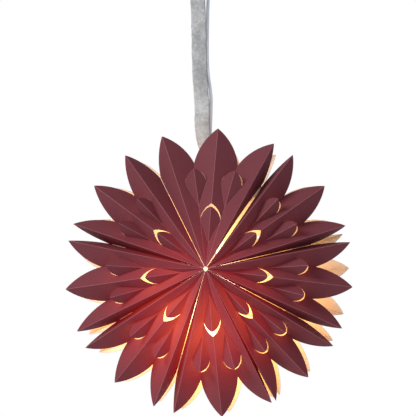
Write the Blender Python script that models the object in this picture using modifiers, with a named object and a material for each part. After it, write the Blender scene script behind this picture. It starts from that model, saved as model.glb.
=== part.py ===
"""Pleated paper snowflake star lantern: sixteen folded sections, a lamp, and the ribbon and cord above."""

import math

import bmesh
import bpy
import numpy as np
from mathutils import Matrix, Vector

# ---------------------------------------------------------------- driving dimensions (metres)
TIP_RADIUS = 0.225          # centre of the star to the points of its petals
RIDGE_SLOPE = math.radians(14.0)   # how far each ridge leans back from the star's face
PANEL_ANGLE = math.radians(12.4)   # angle at the apex of every half pleat
APEX_Y = -0.1085            # front apex; the back one mirrors it
NOTCH_SHARE = 0.787         # valley length over ridge length
PAPER = 0.0004              # paper thickness
APEX_SHIFT = 0.0012         # paper thickness pushes each section this far off the axis
APEX_CUT = 0.011            # the sheets stop this far from the apex, where their folds pile up
FOLD_RELIEF = 0.0012        # uncut paper left at the ends of each popped flap
PETAL_BULGE = 0.118         # sagitta over chord of a petal's edge
FLAP_BULGE = 0.16           # sagitta over chord of a cut flap's edge
FLAP_TRIM = 0.95            # size of each flap against the hole it leaves
EDGE_STEPS = 5
FLAP_STEPS = 4
BOW_STEPS = 6

INNER_FOLD = 0.19           # where the inner flap's fold starts, as a share of the ridge
INNER_HOLE = 0.454          # where its hole ends on the ridge
INNER_END = 0.453           # where its cut ends on the valleys
OUTER_FOLD = 0.58           # the outer flap's shares of the valley
OUTER_END = 0.78
OUTER_HOLE = 0.928
OUTER_REACH = 0.0182        # half width of the outer flap on each panel

# each section's middle, the half angle to its outer petals and how far its middle petal leans, clockwise from
# the top as the front shows them, in degrees
FRONT_SECTIONS = (
    (4.35, 23.25, -0.25), (54.2, 17.9, 0.0), (96.1, 17.3, 0.5), (136.7, 15.7, 0.0),
    (173.85, 19.75, 0.65), (219.95, 18.15, 0.0), (263.85, 18.55, -1.05), (306.9, 17.6, 0.0),
)
BACK_SECTIONS = (
    (5.0, 23.4, 0.0), (52.0, 17.5, -1.7), (90.0, 16.9, -2.4), (134.7, 16.0, 0.0),
    (172.7, 19.8, 0.0), (218.9, 16.6, 0.0), (262.0, 18.0, 0.0), (309.5, 17.5, 0.0),
)
# the slits between sections, from the one after section 1 round to the one after section 8
FRONT_SLITS = (31.95, 75.45, 117.2, 153.25, 197.7, 241.7, 285.85, 332.8)
BACK_SLITS = (31.6, 71.3, 112.7, 151.8, 197.2, 239.8, 286.0, 334.3)
SLIT_HALF = 0.35            # half opening of a glued slit, degrees
SEAM_BOW = 0.0058           # how far the walls beside the seam are hollowed, so that it gapes

DROP = 0.508                # ceiling face down to the centre of the star
TAB_INNER = 0.136           # radii between which the side tabs join the sections
TAB_OUTER = 0.159
TAB_LAP = 0.003             # how far a tab reaches past each wall's edge
TAB_FOLD = 0.002            # how far inside the walls' edges a tab folds
TAB_THICK = 0.0005
SEAM_THICK = 0.0006
HANGER_Z = 0.118            # height of the card hanger inside the top section
HANGER_WIDTH = 0.026
HANGER_THICK = 0.0015
GAP = 0.0003

RIBBON_WIDTH = 0.024
RIBBON_THICK = 0.0008
RIBBON_Y = -0.002
HOOK_BAR = Vector((-0.0200, RIBBON_Y, 0.4625))
HOOK_RADIUS = 0.00175
CORD_RADIUS = 0.0027
CORD_SPACING = 3 * CORD_RADIUS
BASE_RADIUS = 0.045
BASE_THICK = 0.012
BASE_Z = DROP - BASE_THICK  # underside of the ceiling base, from the star's centre
BUSH_XY = (-0.0030, 0.010)
BUSH_LOW = 0.4680
GRIP_TOP = 0.0882
LAMP_X = -0.010             # the lamp hangs a little left of the star's centre
SIDES = 20
THREADS = 3

# route of the lamp cord from the ceiling bush down to the lamp holder's grip
CORD_ROUTE = (
    (-0.0030, 0.010, 0.4677), (-0.0033, 0.0085, 0.452), (-0.0038, 0.0062, 0.432), (-0.0043, 0.0048, 0.400),
    (-0.0045, 0.0042, 0.368), (-0.0041, 0.0040, 0.342), (-0.0027, 0.0040, 0.322), (-0.0001, 0.0040, 0.304),
    (0.0017, 0.0040, 0.286), (0.0015, 0.0040, 0.262), (0.0006, 0.0042, 0.236), (0.0005, 0.0044, 0.212),
    (0.0012, 0.0046, 0.186), (0.0026, 0.0046, 0.160), (0.0044, 0.0050, 0.136), (0.0040, 0.0050, 0.118),
    (0.0010, 0.0036, 0.110), (-0.0050, 0.0014, 0.1035), (-0.0090, 0.0003, 0.0975), (-0.010, 0.0, 0.0930),
    (-0.010, 0.0, 0.0889),
)
# centre line of the ribbon's front run
RIBBON_ROUTE = (
    (-0.0197, 0.456), (-0.0193, 0.440), (-0.0183, 0.410), (-0.0177, 0.380), (-0.0171, 0.350), (-0.0161, 0.322),
    (-0.0147, 0.300), (-0.0133, 0.284), (-0.0127, 0.262), (-0.0123, 0.240), (-0.0112, 0.2185), (-0.0103, 0.195),
    (-0.0097, 0.170), (-0.0095, 0.145), (-0.0095, 0.126),
)


# ---------------------------------------------------------------- scene helpers
def clear_scene():
    for obj in list(bpy.data.objects):
        bpy.data.objects.remove(obj, do_unlink=True)


def collection(name):
    made = bpy.data.collections.new(name)
    bpy.context.scene.collection.children.link(made)
    return made


def material(name, colour, roughness, metallic=0.0):
    mat = bpy.data.materials.new(name)
    mat.use_nodes = True
    shader = mat.node_tree.nodes["Principled BSDF"]
    shader.inputs["Base Color"].default_value = (*colour, 1.0)
    shader.inputs["Roughness"].default_value = roughness
    shader.inputs["Metallic"].default_value = metallic
    return mat


def empty(name, location, parent=None):
    made = bpy.data.objects.new(name, None)
    PARTS.objects.link(made)
    made.location = location
    made.parent = parent
    return made


def place(name, data, mat, parent):
    obj = bpy.data.objects.new(name, data)
    PARTS.objects.link(obj)
    obj.data.materials.append(mat)
    obj.parent = parent
    return obj


def mesh_from(name, bm):
    mesh = bpy.data.meshes.new(name)
    bm.to_mesh(mesh)
    bm.free()
    return mesh


def solidify(obj, thickness, offset=0.0):
    mod = obj.modifiers.new("thickness", "SOLIDIFY")
    mod.thickness = thickness
    mod.offset = offset
    return mod


def turned(name, profile, mat, parent, location=(0, 0, 0), closed=False, steps=SIDES):
    """A piece turned about Z from (radius, height) points that run down its outer side."""
    bm = bmesh.new()
    verts = [bm.verts.new((r, 0.0, z)) for r, z in profile]
    for a, b in zip(verts, verts[1:]):
        bm.edges.new((a, b))
    if closed:
        bm.edges.new((verts[-1], verts[0]))
    obj = place(name, mesh_from(name, bm), mat, parent)
    obj.location = location
    mod = obj.modifiers.new("turn", "SCREW")
    mod.axis = "Z"
    mod.steps = steps
    mod.render_steps = steps
    mod.use_merge_vertices = True
    mod.merge_threshold = 0.00001
    return obj


def smooth_route(points, step):
    """Points every step metres along a Catmull-Rom curve through the route's own points."""
    p = np.array(points, float)
    p = np.vstack([2 * p[0] - p[1], p, 2 * p[-1] - p[-2]])
    fine = []
    for a, b, c, d in zip(p, p[1:], p[2:], p[3:]):
        for t in np.linspace(0, 1, 12, endpoint=False):
            fine.append(0.5 * (2 * b + (c - a) * t + (2 * a - 5 * b + 4 * c - d) * t**2
                               + (3 * b - a - 3 * c + d) * t**3))
    fine = np.array([*fine, p[-2]])
    run = np.concatenate([[0], np.cumsum(np.linalg.norm(np.diff(fine, axis=0), axis=1))])
    at = np.linspace(0, run[-1], max(2, round(run[-1] / step) + 1))
    return np.column_stack([np.interp(at, run, fine[:, k]) for k in range(3)])


def tube(name, points, radius, mat, parent, resolution=2):
    """A round wire or cord as a bevelled polyline."""
    curve = bpy.data.curves.new(name, "CURVE")
    curve.dimensions = "3D"
    curve.bevel_depth = radius
    curve.bevel_resolution = resolution
    curve.use_fill_caps = True
    spline = curve.splines.new("POLY")
    spline.points.add(len(points) - 1)
    for point, xyz in zip(spline.points, points):
        point.co = (*xyz, 1.0)
    return place(name, curve, mat, parent)


# ---------------------------------------------------------------- paper geometry
def ray(azimuth, slope):
    """Unit direction from the front apex at an angle clockwise from the top, leaning back by slope."""
    a = math.radians(azimuth)
    return Vector((math.cos(slope) * math.sin(a), math.sin(slope), math.cos(slope) * math.cos(a)))


def valley_slope(step):
    """Slope of a valley that lies step degrees from its ridge, at the panel's apex angle."""
    a = math.cos(RIDGE_SLOPE) * math.cos(math.radians(step))
    b = math.sin(RIDGE_SLOPE)
    return math.atan2(b, a) + math.acos(min(1.0, math.cos(PANEL_ANGLE) / math.hypot(a, b)))


RIDGE_LENGTH = TIP_RADIUS / math.cos(RIDGE_SLOPE)
VALLEY_LENGTH = NOTCH_SHARE * RIDGE_LENGTH


def arc(a, b, bulge, away, steps):
    """Points of the circular arc from a to b whose middle stands bulge chords off it, away from a point."""
    chord = b - a
    mid = (a + b) / 2
    out = mid - away
    out = (out - chord * (out.dot(chord) / chord.length_squared)).normalized()
    sagitta = bulge * chord.length
    radius = (chord.length**2 / 4 + sagitta**2) / (2 * sagitta)
    half = math.asin(chord.length / 2 / radius)
    along = chord.normalized()
    points = []
    for i in range(1, steps):
        angle = -half + 2 * half * i / steps
        rise = radius * math.cos(angle) - radius + sagitta
        points.append(mid + along * (radius * math.sin(angle)) + out * rise)
    return [a, *points, b]


def reflect(point, a, b, c):
    """The point's mirror image in the plane through a, b and c."""
    normal = (b - a).cross(c - a).normalized()
    return point - normal * (2 * (point - a).dot(normal))


def toward(a, b, distance):
    return a + (b - a).normalized() * distance


def shortened(points, root):
    """A flap's cut edge, drawn back a little along the line from the flap's root to its last point."""
    axis = (points[-1] - root).normalized()
    return [p - axis * ((1 - FLAP_TRIM) * (p - root).dot(axis)) for p in points]


def hollowed(a, b, toward_point, bow, steps):
    """Points between a and b that bow towards a third point, as a sine curve."""
    side = toward_point - a
    side = (side - (b - a) * (side.dot(b - a) / (b - a).length_squared)).normalized()
    return [a.lerp(b, i / steps) + side * (bow * math.sin(math.pi * i / steps)) for i in range(1, steps)]


def section_faces(centre, spread, lean, wall_before, wall_after, bows):
    """Polygons of one front section: three petals, two walls, one inner flap and two outer flaps."""
    middle = math.radians(centre)
    apex = Vector((APEX_SHIFT * math.sin(middle), APEX_Y, APEX_SHIFT * math.cos(middle)))

    def on(direction, distance):
        return apex + direction * distance

    petals = (centre - spread, centre + lean, centre + spread)
    ridges = [ray(p, RIDGE_SLOPE) for p in petals]
    valleys = [ray((p + q) / 2, valley_slope((q - p) / 2)) for p, q in zip(petals, petals[1:])]
    walls = [ray(w, valley_slope(abs(w - centre - k * spread)))
             for w, k in ((wall_before, -1), (wall_after, 1))]
    faces = []

    for wall, ridge, bow in zip(walls, (ridges[0], ridges[2]), bows):
        start, notch, tip = on(wall, APEX_CUT), on(wall, VALLEY_LENGTH), on(ridge, RIDGE_LENGTH)
        inner = hollowed(start, notch, tip, bow, BOW_STEPS) if bow else []
        edge = arc(notch, tip, PETAL_BULGE, apex, EDGE_STEPS)
        faces.append([start, *inner, *edge, on(ridge, APEX_CUT)])

    ends = [on(v, INNER_END * VALLEY_LENGTH) for v in valleys]
    fold = on(ridges[1], INNER_FOLD * RIDGE_LENGTH)
    hole = on(ridges[1], INNER_HOLE * RIDGE_LENGTH)
    sunk = reflect(fold, apex, *ends)

    for side, (valley, end) in enumerate(zip(valleys, ends)):
        outer_ridge = ridges[2 * side]
        notch = on(valley, VALLEY_LENGTH)
        start = on(valley, OUTER_FOLD * VALLEY_LENGTH)
        outer_hole = on(valley, OUTER_HOLE * VALLEY_LENGTH)
        reaches = []
        for ridge in (outer_ridge, ridges[1]):
            across = (ridge - valley * ridge.dot(valley)).normalized()
            reaches.append(on(valley, OUTER_END * VALLEY_LENGTH) + across * OUTER_REACH)
        cuts = [arc(reach, outer_hole, FLAP_BULGE, start, FLAP_STEPS) for reach in reaches]
        for reach, cut in zip(reaches, cuts):
            relief = toward(reach, start, FOLD_RELIEF)
            popped = shortened([reflect(p, start, *reaches) for p in cut], start)
            faces.append([start, relief, *popped[1:]])
        side_rim = [[*reversed(cut), toward(reach, start, FOLD_RELIEF), start]
                    for reach, cut in zip(reaches, cuts)]

        tip = on(outer_ridge, RIDGE_LENGTH)
        faces.append([on(outer_ridge, APEX_CUT), *reversed(arc(notch, tip, PETAL_BULGE, apex, EDGE_STEPS)),
                      *side_rim[0], end, on(valley, APEX_CUT)])
        tip = on(ridges[1], RIDGE_LENGTH)
        inner_cut = arc(end, hole, FLAP_BULGE, fold, FLAP_STEPS)
        faces.append([*inner_cut, *reversed(arc(notch, tip, PETAL_BULGE, apex, EDGE_STEPS)), *side_rim[1]])
        relief = toward(end, sunk, FOLD_RELIEF)
        faces.append([on(valley, APEX_CUT), end, relief, sunk, toward(apex, sunk, APEX_CUT)])
        popped = shortened([reflect(reflect(p, apex, *ends), sunk, *ends) for p in inner_cut], sunk)
        faces.append([sunk, relief, *popped[1:]])
    return faces


def paper_mesh(name, faces, mirrored):
    """One sheet from its polygons, welded along their folds."""
    bm = bmesh.new()
    for face in faces:
        bm.faces.new([bm.verts.new((p.x, -p.y if mirrored else p.y, p.z)) for p in face])
    bmesh.ops.remove_doubles(bm, verts=bm.verts, dist=0.00002)
    bmesh.ops.recalc_face_normals(bm, faces=bm.faces)
    return mesh_from(name, bm)


def paper_sections(parent, mat):
    for side, table, slits in (("front", FRONT_SECTIONS, FRONT_SLITS), ("back", BACK_SECTIONS, BACK_SLITS)):
        for k, (centre, spread, lean) in enumerate(table):
            before = slits[k - 1] - (360 if k == 0 else 0) + SLIT_HALF
            after = slits[k] - SLIT_HALF
            bows = (SEAM_BOW if k == 1 else 0.0, SEAM_BOW if k == 0 else 0.0)
            name = f"{side}_section_{k + 1}"
            sheet = paper_mesh(name, section_faces(centre, spread, lean, before, after, bows), side == "back")
            solidify(place(name, sheet, mat, parent), PAPER)


def wall_depth(table, slits, k, radius):
    """How far from the middle plane the walls on both sides of a slit have their edges, at a radius."""
    centre, spread, _ = table[k]
    gap = slits[k] - SLIT_HALF - centre - spread
    return -(APEX_Y + radius * math.tan(valley_slope(gap)))


def spoke(azimuth):
    """The directions out along an azimuth and square to it."""
    a = math.radians(azimuth)
    return Vector((math.sin(a), 0, math.cos(a))), Vector((math.cos(a), 0, -math.sin(a)))


def radial_strip(name, k, thickness, aside, mat, parent):
    """A strip from slit k of the front sheets to that of the back ones, folded where it leaves the walls."""
    rows = []
    for face, table, slits, laps in ((-1, FRONT_SECTIONS, FRONT_SLITS, (TAB_LAP, -TAB_FOLD)),
                                     (1, BACK_SECTIONS, BACK_SLITS, (-TAB_FOLD, TAB_LAP))):
        out, across = spoke(slits[k])
        for lap in laps:
            row = []
            for radius in (TAB_INNER, TAB_OUTER):
                y = face * (wall_depth(table, slits, k, radius) + lap)
                row.append(out * radius + across * aside + Vector((0, y, 0)))
            rows.append(row)
    bm = bmesh.new()
    made = [[bm.verts.new(p) for p in row] for row in rows]
    for low, high in zip(made, made[1:]):
        bm.faces.new([low[0], low[1], high[1], high[0]])
    bmesh.ops.triangulate(bm, faces=bm.faces)
    solidify(place(name, mesh_from(name, bm), mat, parent), thickness)


def side_tabs(parent, paper_mat, tape_mat):
    for k in range(1, len(FRONT_SLITS)):
        radial_strip(f"side_tab_{k + 1}", k, TAB_THICK, 0.0, paper_mat, parent)
    for name, sign in (("seam_hook_strip", -1), ("seam_loop_strip", 1)):
        radial_strip(name, 0, SEAM_THICK, sign * (SEAM_THICK / 2 + GAP), tape_mat, parent)


# ---------------------------------------------------------------- hanging pieces
def flat_plate(name, outlines, thickness, mat, parent, location):
    """A flat piece from its outline and its holes, as closed 2D splines."""
    curve = bpy.data.curves.new(name, "CURVE")
    curve.dimensions = "2D"
    curve.fill_mode = "BOTH"
    curve.extrude = thickness / 2
    for outline in outlines:
        spline = curve.splines.new("POLY")
        spline.points.add(len(outline) - 1)
        spline.use_cyclic_u = True
        for point, (x, y) in zip(spline.points, outline):
            point.co = (x, y, 0.0, 1.0)
    obj = place(name, curve, mat, parent)
    obj.location = location
    return obj


def rectangle(x0, x1, y0, y1):
    return [(x0, y0), (x1, y0), (x1, y1), (x0, y1)]


def circle(x, y, radius, sides=16):
    turn = 2 * math.pi / sides
    return [(x + radius * math.cos(k * turn), y + radius * math.sin(k * turn)) for k in range(sides)]


def card_hanger(parent, mat):
    """The stiff strip across the top section, with a slot for the ribbon and a hole for the cord."""
    clear = 0.003
    left = HANGER_Z * math.tan(math.radians(BACK_SLITS[-1] - 360)) + clear
    right = HANGER_Z * math.tan(math.radians(BACK_SLITS[0])) - clear
    slot_x = RIBBON_ROUTE[-1][0]
    slot = rectangle(slot_x - 0.0130, slot_x + 0.0130, RIBBON_Y - 0.0012, RIBBON_Y + 0.0012)
    hole_x, hole_y = 0.0040, 0.0050
    outlines = [rectangle(left, right, -HANGER_WIDTH / 2, HANGER_WIDTH / 2), slot,
                circle(hole_x, hole_y, 0.0036)]
    return flat_plate("card_hanger", outlines, HANGER_THICK, mat, parent, (0, 0, HANGER_Z))


def ribbon_line():
    """The ribbon's centre line: behind the hook bar, over it, down the front and under the hanger."""
    loop = HOOK_RADIUS + GAP + RIBBON_THICK / 2 + 0.0002
    points = [(HOOK_BAR.x, HOOK_BAR.y + loop, HOOK_BAR.z - 0.020)]
    for k in range(9):
        angle = math.pi * k / 8
        points.append((HOOK_BAR.x, HOOK_BAR.y + loop * math.cos(angle), HOOK_BAR.z + loop * math.sin(angle)))
    front = [(x, HOOK_BAR.y - loop if z > 0.45 else RIBBON_Y, z) for x, z in RIBBON_ROUTE]
    points += front
    under = HANGER_Z - HANGER_THICK / 2 - GAP - RIBBON_THICK / 2 - 0.0003
    x = RIBBON_ROUTE[-1][0]
    points += [(x, RIBBON_Y, under + 0.001), (x, RIBBON_Y - 0.001, under), (x, RIBBON_Y - 0.010, under)]
    return points


def hanging_ribbon(parent, mat):
    bm = bmesh.new()
    half = Vector((RIBBON_WIDTH / 2, 0, 0))
    rows = [(bm.verts.new(Vector(p) - half), bm.verts.new(Vector(p) + half)) for p in ribbon_line()]
    for (a, b), (c, d) in zip(rows, rows[1:]):
        bm.faces.new((a, b, d, c))
    bmesh.ops.recalc_face_normals(bm, faces=bm.faces)
    obj = place("hanging_ribbon", mesh_from("hanging_ribbon", bm), mat, parent)
    solidify(obj, RIBBON_THICK)
    return obj


def lamp_cord(parent, mat):
    return tube("lamp_cord", smooth_route(CORD_ROUTE, CORD_SPACING), CORD_RADIUS, mat, parent)


# ---------------------------------------------------------------- ceiling fixture
def cut(obj, cutter):
    mod = obj.modifiers.new("cut", "BOOLEAN")
    mod.operation = "DIFFERENCE"
    mod.object = cutter


def cutting_cylinder(name, x, y, radius, low, high, parent):
    bm = bmesh.new()
    bmesh.ops.create_cone(bm, cap_ends=True, segments=20, radius1=radius, radius2=radius, depth=high - low,
                          matrix=Matrix.Translation((x, y, (low + high) / 2)))
    obj = bpy.data.objects.new(name, mesh_from(name, bm))
    CUTTERS.objects.link(obj)
    obj.parent = parent
    obj.hide_render = True
    obj.display_type = "WIRE"
    return obj


HOOK_STEM_X = HOOK_BAR.x - 0.0150
SCREW_XY = ((0.020, -0.024), (0.020, 0.024))


def ceiling_base(parent, mat):
    r, low = BASE_RADIUS, BASE_Z
    profile = [(0, DROP), (r, DROP), (r, low + 0.004), (r - 0.0012, low + 0.0012), (r - 0.004, low), (0, low)]
    base = turned("ceiling_base", profile, mat, parent, steps=36)
    holes = [(HOOK_STEM_X, RIBBON_Y, HOOK_RADIUS + 0.0004)] + [(x, y, 0.0024) for x, y in SCREW_XY]
    for k, (x, y, radius) in enumerate(holes):
        cut(base, cutting_cylinder(f"base_hole_{k}", x, y, radius, low - 0.002, DROP + 0.002, parent))
    return base


def ceiling_hook(parent, mat):
    """A stem out of the base, a flat bar for the ribbon and an upturned end."""
    x0, x1, z = HOOK_STEM_X, HOOK_BAR.x + 0.0145, HOOK_BAR.z
    bend = 0.003
    points = [(x0, RIBBON_Y, DROP - 0.001), (x0, RIBBON_Y, z + bend)]
    points += [(x0 + bend * (1 - math.cos(a)), RIBBON_Y, z + bend * (1 - math.sin(a)))
               for a in (math.pi / 6, math.pi / 3, math.pi / 2)]
    points += [(x1 - bend, RIBBON_Y, z)]
    points += [(x1 - bend + bend * math.sin(a), RIBBON_Y, z + bend * (1 - math.cos(a)))
               for a in (math.pi / 6, math.pi / 3, math.pi / 2)]
    points += [(x1, RIBBON_Y, z + 0.010)]
    return tube("ceiling_hook", points, HOOK_RADIUS, mat, parent)


def ceiling_bush(parent, mat):
    profile = [(0, BASE_Z - GAP), (0.0075, BASE_Z - GAP), (0.0075, BASE_Z - 0.007), (0.0062, BASE_Z - 0.009),
               (0.0040, BUSH_LOW), (0, BUSH_LOW)]
    return turned("ceiling_cord_bush", profile, mat, parent, location=(*BUSH_XY, 0), steps=24)


def base_screws(parent, mat):
    """Two pan-head screws through the base."""
    profile = [(0, DROP - 0.0005), (0.0019, DROP - 0.0005), (0.0019, BASE_Z - GAP), (0.0042, BASE_Z - GAP),
               (0.0038, BASE_Z - 0.0017), (0.0022, BASE_Z - 0.0026), (0, BASE_Z - 0.0028)]
    for k, (x, y) in enumerate(SCREW_XY, start=1):
        turned(f"base_screw_{k}", profile, mat, parent, location=(x, y, 0), steps=20)


# ---------------------------------------------------------------- lamp holder
def cord_grip(parent, mat):
    profile = [(0, GRIP_TOP), (0.0038, GRIP_TOP), (0.0044, 0.080), (0.0056, 0.0725), (0.0070, 0.0700),
               (0.0070, 0.0663), (0, 0.0663)]
    return turned("cord_grip", profile, mat, parent, steps=24)


def holder_cap(parent, mat):
    profile = [(0.0035, 0.0660), (0.0085, 0.0660), (0.0120, 0.0635), (0.0172, 0.0560), (0.0200, 0.0460),
               (0.0205, 0.0360), (0.0188, 0.0360), (0.0183, 0.0455), (0.0158, 0.0545), (0.0110, 0.0610),
               (0.0035, 0.0630)]
    return turned("holder_cap", profile, mat, parent, closed=True)


def holder_skirt(parent, mat):
    """The threaded skirt below the cap; the shade ring runs on its outside."""
    outer = [(0.0205, 0.0357), (0.0205, 0.0220)]
    for k in range(THREADS):
        z = 0.0205 - 0.0070 * k
        outer += [(0.0196, z), (0.0203, z - 0.0012), (0.0203, z - 0.0024), (0.0196, z - 0.0036)]
    outer += [(0.0196, -0.0040), (0.0170, -0.0040), (0.0170, 0.0300), (0.0175, 0.0357)]
    return turned("holder_skirt", outer, mat, parent, closed=True)


def shade_ring(parent, mat):
    profile = [(0.0210, 0.0120), (0.0238, 0.0120), (0.0248, 0.0105), (0.0248, 0.0065), (0.0300, 0.0058),
               (0.0305, 0.0050), (0.0300, 0.0040), (0.0210, 0.0040)]
    return turned("shade_ring", profile, mat, parent, closed=True)


def holder_inside(parent, ceramic, brass):
    turned("holder_insulator", [(0, 0.0354), (0.0166, 0.0354), (0.0166, 0.0305), (0, 0.0305)], ceramic, parent)
    shell = [(0.0162, 0.0300), (0.0162, 0.0010), (0.0152, 0.0010), (0.0152, 0.0300)]
    turned("contact_shell", shell, brass, parent, closed=True)
    turned("contact_spring", [(0, 0.0302), (0.0022, 0.0302), (0.0030, 0.0285), (0.0030, 0.0272), (0, 0.0268)],
           brass, parent, steps=16)


# ---------------------------------------------------------------- bulb
BULB_TOP = 0.0265
GLOBE_CENTRE = -0.0610
GLOBE_RADIUS = 0.0300
GLOBE_WALL = 0.0012


def bulb_cap(parent, brass, black):
    outer = [(0.0120, 0.0205)]
    for k in range(THREADS):
        z = 0.0185 - 0.0060 * k
        outer += [(0.0128, z), (0.0136, z - 0.0010), (0.0136, z - 0.0017), (0.0128, z - 0.0027)]
    outer += [(0.0128, -0.0030), (0.0118, -0.0030), (0.0112, 0.0205)]
    turned("bulb_screw_cap", outer, brass, parent, closed=True)
    turned("bulb_insulator", [(0, 0.0240), (0.0060, 0.0240), (0.0118, 0.0212), (0.0118, 0.0208), (0, 0.0208)],
           black, parent)
    turned("bulb_contact", [(0, BULB_TOP), (0.0035, BULB_TOP - 0.0004), (0.0050, 0.0243), (0, 0.0243)], brass,
           parent, steps=20)


def bulb_collar(parent, mat):
    profile = [(0, -0.0033), (0.0136, -0.0033), (0.0142, -0.0100), (0.0180, -0.0220), (0.0235, -0.0330),
               (0.0262, -0.0395), (0.0262, -0.0425), (0, -0.0425)]
    return turned("bulb_collar", profile, mat, parent)


def bulb_diffuser(parent, mat):
    """A thin globe, open at the top where the collar closes it."""
    steps = 8
    start = math.acos((-0.0428 - GLOBE_CENTRE) / GLOBE_RADIUS)
    outer = [start + (math.pi - start) * k / steps for k in range(steps + 1)]
    profile = [(GLOBE_RADIUS * math.sin(a), GLOBE_CENTRE + GLOBE_RADIUS * math.cos(a)) for a in outer]
    inside = GLOBE_RADIUS - GLOBE_WALL
    start = math.acos((-0.0428 - GLOBE_CENTRE) / inside)
    inner = [math.pi + (start - math.pi) * k / steps for k in range(steps + 1)]
    profile[-1] = (0, profile[-1][1])
    lining = [(inside * math.sin(a), GLOBE_CENTRE + inside * math.cos(a)) for a in inner]
    lining[0] = (0, lining[0][1])
    shell = profile + lining
    bm = bmesh.new()
    verts = [bm.verts.new((r, 0.0, z)) for r, z in shell]
    for k, (a, b) in enumerate(zip(verts, verts[1:])):
        if k != steps:
            bm.edges.new((a, b))
    bm.edges.new((verts[-1], verts[0]))
    obj = place("bulb_diffuser", mesh_from("bulb_diffuser", bm), mat, parent)
    mod = obj.modifiers.new("turn", "SCREW")
    mod.axis = "Z"
    mod.steps = SIDES
    mod.render_steps = SIDES
    mod.use_merge_vertices = True
    mod.merge_threshold = 0.00001
    return obj


def bulb_board(parent, mat, led_mat):
    turned("led_board", [(0, -0.0430), (0.0200, -0.0430), (0.0200, -0.0446), (0, -0.0446)], mat, parent)
    ring = [(0.0150, -0.0449), (0.0150, -0.0457), (0.0100, -0.0457), (0.0100, -0.0449)]
    turned("led_ring", ring, led_mat, parent, closed=True)


# ---------------------------------------------------------------- the whole lantern
def build():
    paper = material("burgundy_paper", (0.19, 0.035, 0.045), 0.8)
    white_paper = material("white_paper", (0.85, 0.80, 0.72), 0.85)
    card = material("grey_card", (0.55, 0.50, 0.44), 0.9)
    tape = material("white_tape", (0.82, 0.80, 0.76), 0.9)
    ribbon = material("grey_ribbon", (0.42, 0.41, 0.41), 0.85)
    sleeve = material("white_cord", (0.70, 0.72, 0.76), 0.5)
    plastic = material("white_plastic", (0.85, 0.85, 0.84), 0.4)
    black = material("black_insulator", (0.03, 0.03, 0.03), 0.3)
    brass = material("nickel_plate", (0.62, 0.60, 0.55), 0.3, 1.0)
    steel = material("zinc_steel", (0.60, 0.60, 0.62), 0.35, 1.0)
    opal = material("opal_globe", (0.95, 0.90, 0.80), 0.25)
    led = material("led_phosphor", (0.95, 0.85, 0.35), 0.4)

    centre = empty("star_centre", (0, 0, -DROP))
    ceiling_base(centre, plastic)
    ceiling_hook(centre, steel)
    ceiling_bush(centre, plastic)
    base_screws(centre, steel)

    pivot = empty("hook_pivot", HOOK_BAR, centre)
    swinging = empty("swinging_set", -HOOK_BAR, pivot)
    paper_sections(swinging, paper)
    side_tabs(swinging, white_paper, tape)
    card_hanger(swinging, card)
    hanging_ribbon(swinging, ribbon)
    lamp_cord(swinging, sleeve)
    lamp = empty("lamp_axis", (LAMP_X, 0, 0), swinging)
    cord_grip(lamp, plastic)
    holder_cap(lamp, plastic)
    holder_skirt(lamp, plastic)
    holder_inside(lamp, plastic, brass)

    ring_axis = empty("ring_axis", (0, 0, 0), lamp)
    shade_ring(ring_axis, plastic)
    bulb_axis = empty("bulb_axis", (0, 0, 0), lamp)
    bulb_cap(bulb_axis, brass, black)
    bulb_collar(bulb_axis, plastic)
    bulb_diffuser(bulb_axis, opal)
    bulb_board(bulb_axis, plastic, led)


clear_scene()
PARTS = collection("paper_snowflake_star")
CUTTERS = collection("cutters")
build()
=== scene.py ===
import math

import bmesh
import bpy
import numpy as np
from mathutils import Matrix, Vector


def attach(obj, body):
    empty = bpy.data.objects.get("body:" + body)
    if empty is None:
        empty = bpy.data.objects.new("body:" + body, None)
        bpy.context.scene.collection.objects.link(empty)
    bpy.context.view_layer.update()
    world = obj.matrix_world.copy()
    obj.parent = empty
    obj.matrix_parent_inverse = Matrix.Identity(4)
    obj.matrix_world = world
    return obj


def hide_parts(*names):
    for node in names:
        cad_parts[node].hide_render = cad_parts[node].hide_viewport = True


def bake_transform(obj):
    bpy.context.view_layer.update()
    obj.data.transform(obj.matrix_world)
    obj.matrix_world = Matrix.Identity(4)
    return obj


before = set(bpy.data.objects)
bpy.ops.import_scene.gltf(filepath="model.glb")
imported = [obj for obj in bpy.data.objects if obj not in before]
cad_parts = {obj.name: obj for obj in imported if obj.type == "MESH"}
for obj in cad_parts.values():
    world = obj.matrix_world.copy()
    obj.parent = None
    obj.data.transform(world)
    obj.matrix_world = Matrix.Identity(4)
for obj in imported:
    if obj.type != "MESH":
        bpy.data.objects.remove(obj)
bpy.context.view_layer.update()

# ---------------------------------------------------------------- dimensions (metres)
# The CAD has the same ones, except that here the paper is thinner, its sections reach nearer the apex, the
# axis and each other, the flaps are trimmed by side and the ribbon is slightly wider.
TIP_RADIUS = 0.225
RIDGE_SLOPE = math.radians(14.0)
PANEL_ANGLE = math.radians(12.4)
APEX_Y = -0.1085
NOTCH_SHARE = 0.787
PAPER = 0.00036
APEX_SHIFT = 0.0006
APEX_CUT = 0.0028          # the sheets stop this far from the apex
FOLD_RELIEF = 0.0008       # a flap's cut starts this far from the fold it hangs on
CREASE_HALF = 0.0005       # half the width of a crease line, painted paler as wear plus a painted highlight
PETAL_BULGE = 0.118
FLAP_BULGE = 0.16
FLAP_TRIM = {"front": 0.934, "back": 0.985}     # size of a flap against the hole it leaves
EDGE_STEPS = 14
FLAP_STEPS = 12
BOW_STEPS = 20
INNER_FOLD, INNER_HOLE, INNER_END = 0.19, 0.454, 0.453
OUTER_FOLD, OUTER_END, OUTER_HOLE = 0.58, 0.78, 0.928
OUTER_REACH = 0.0182
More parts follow.
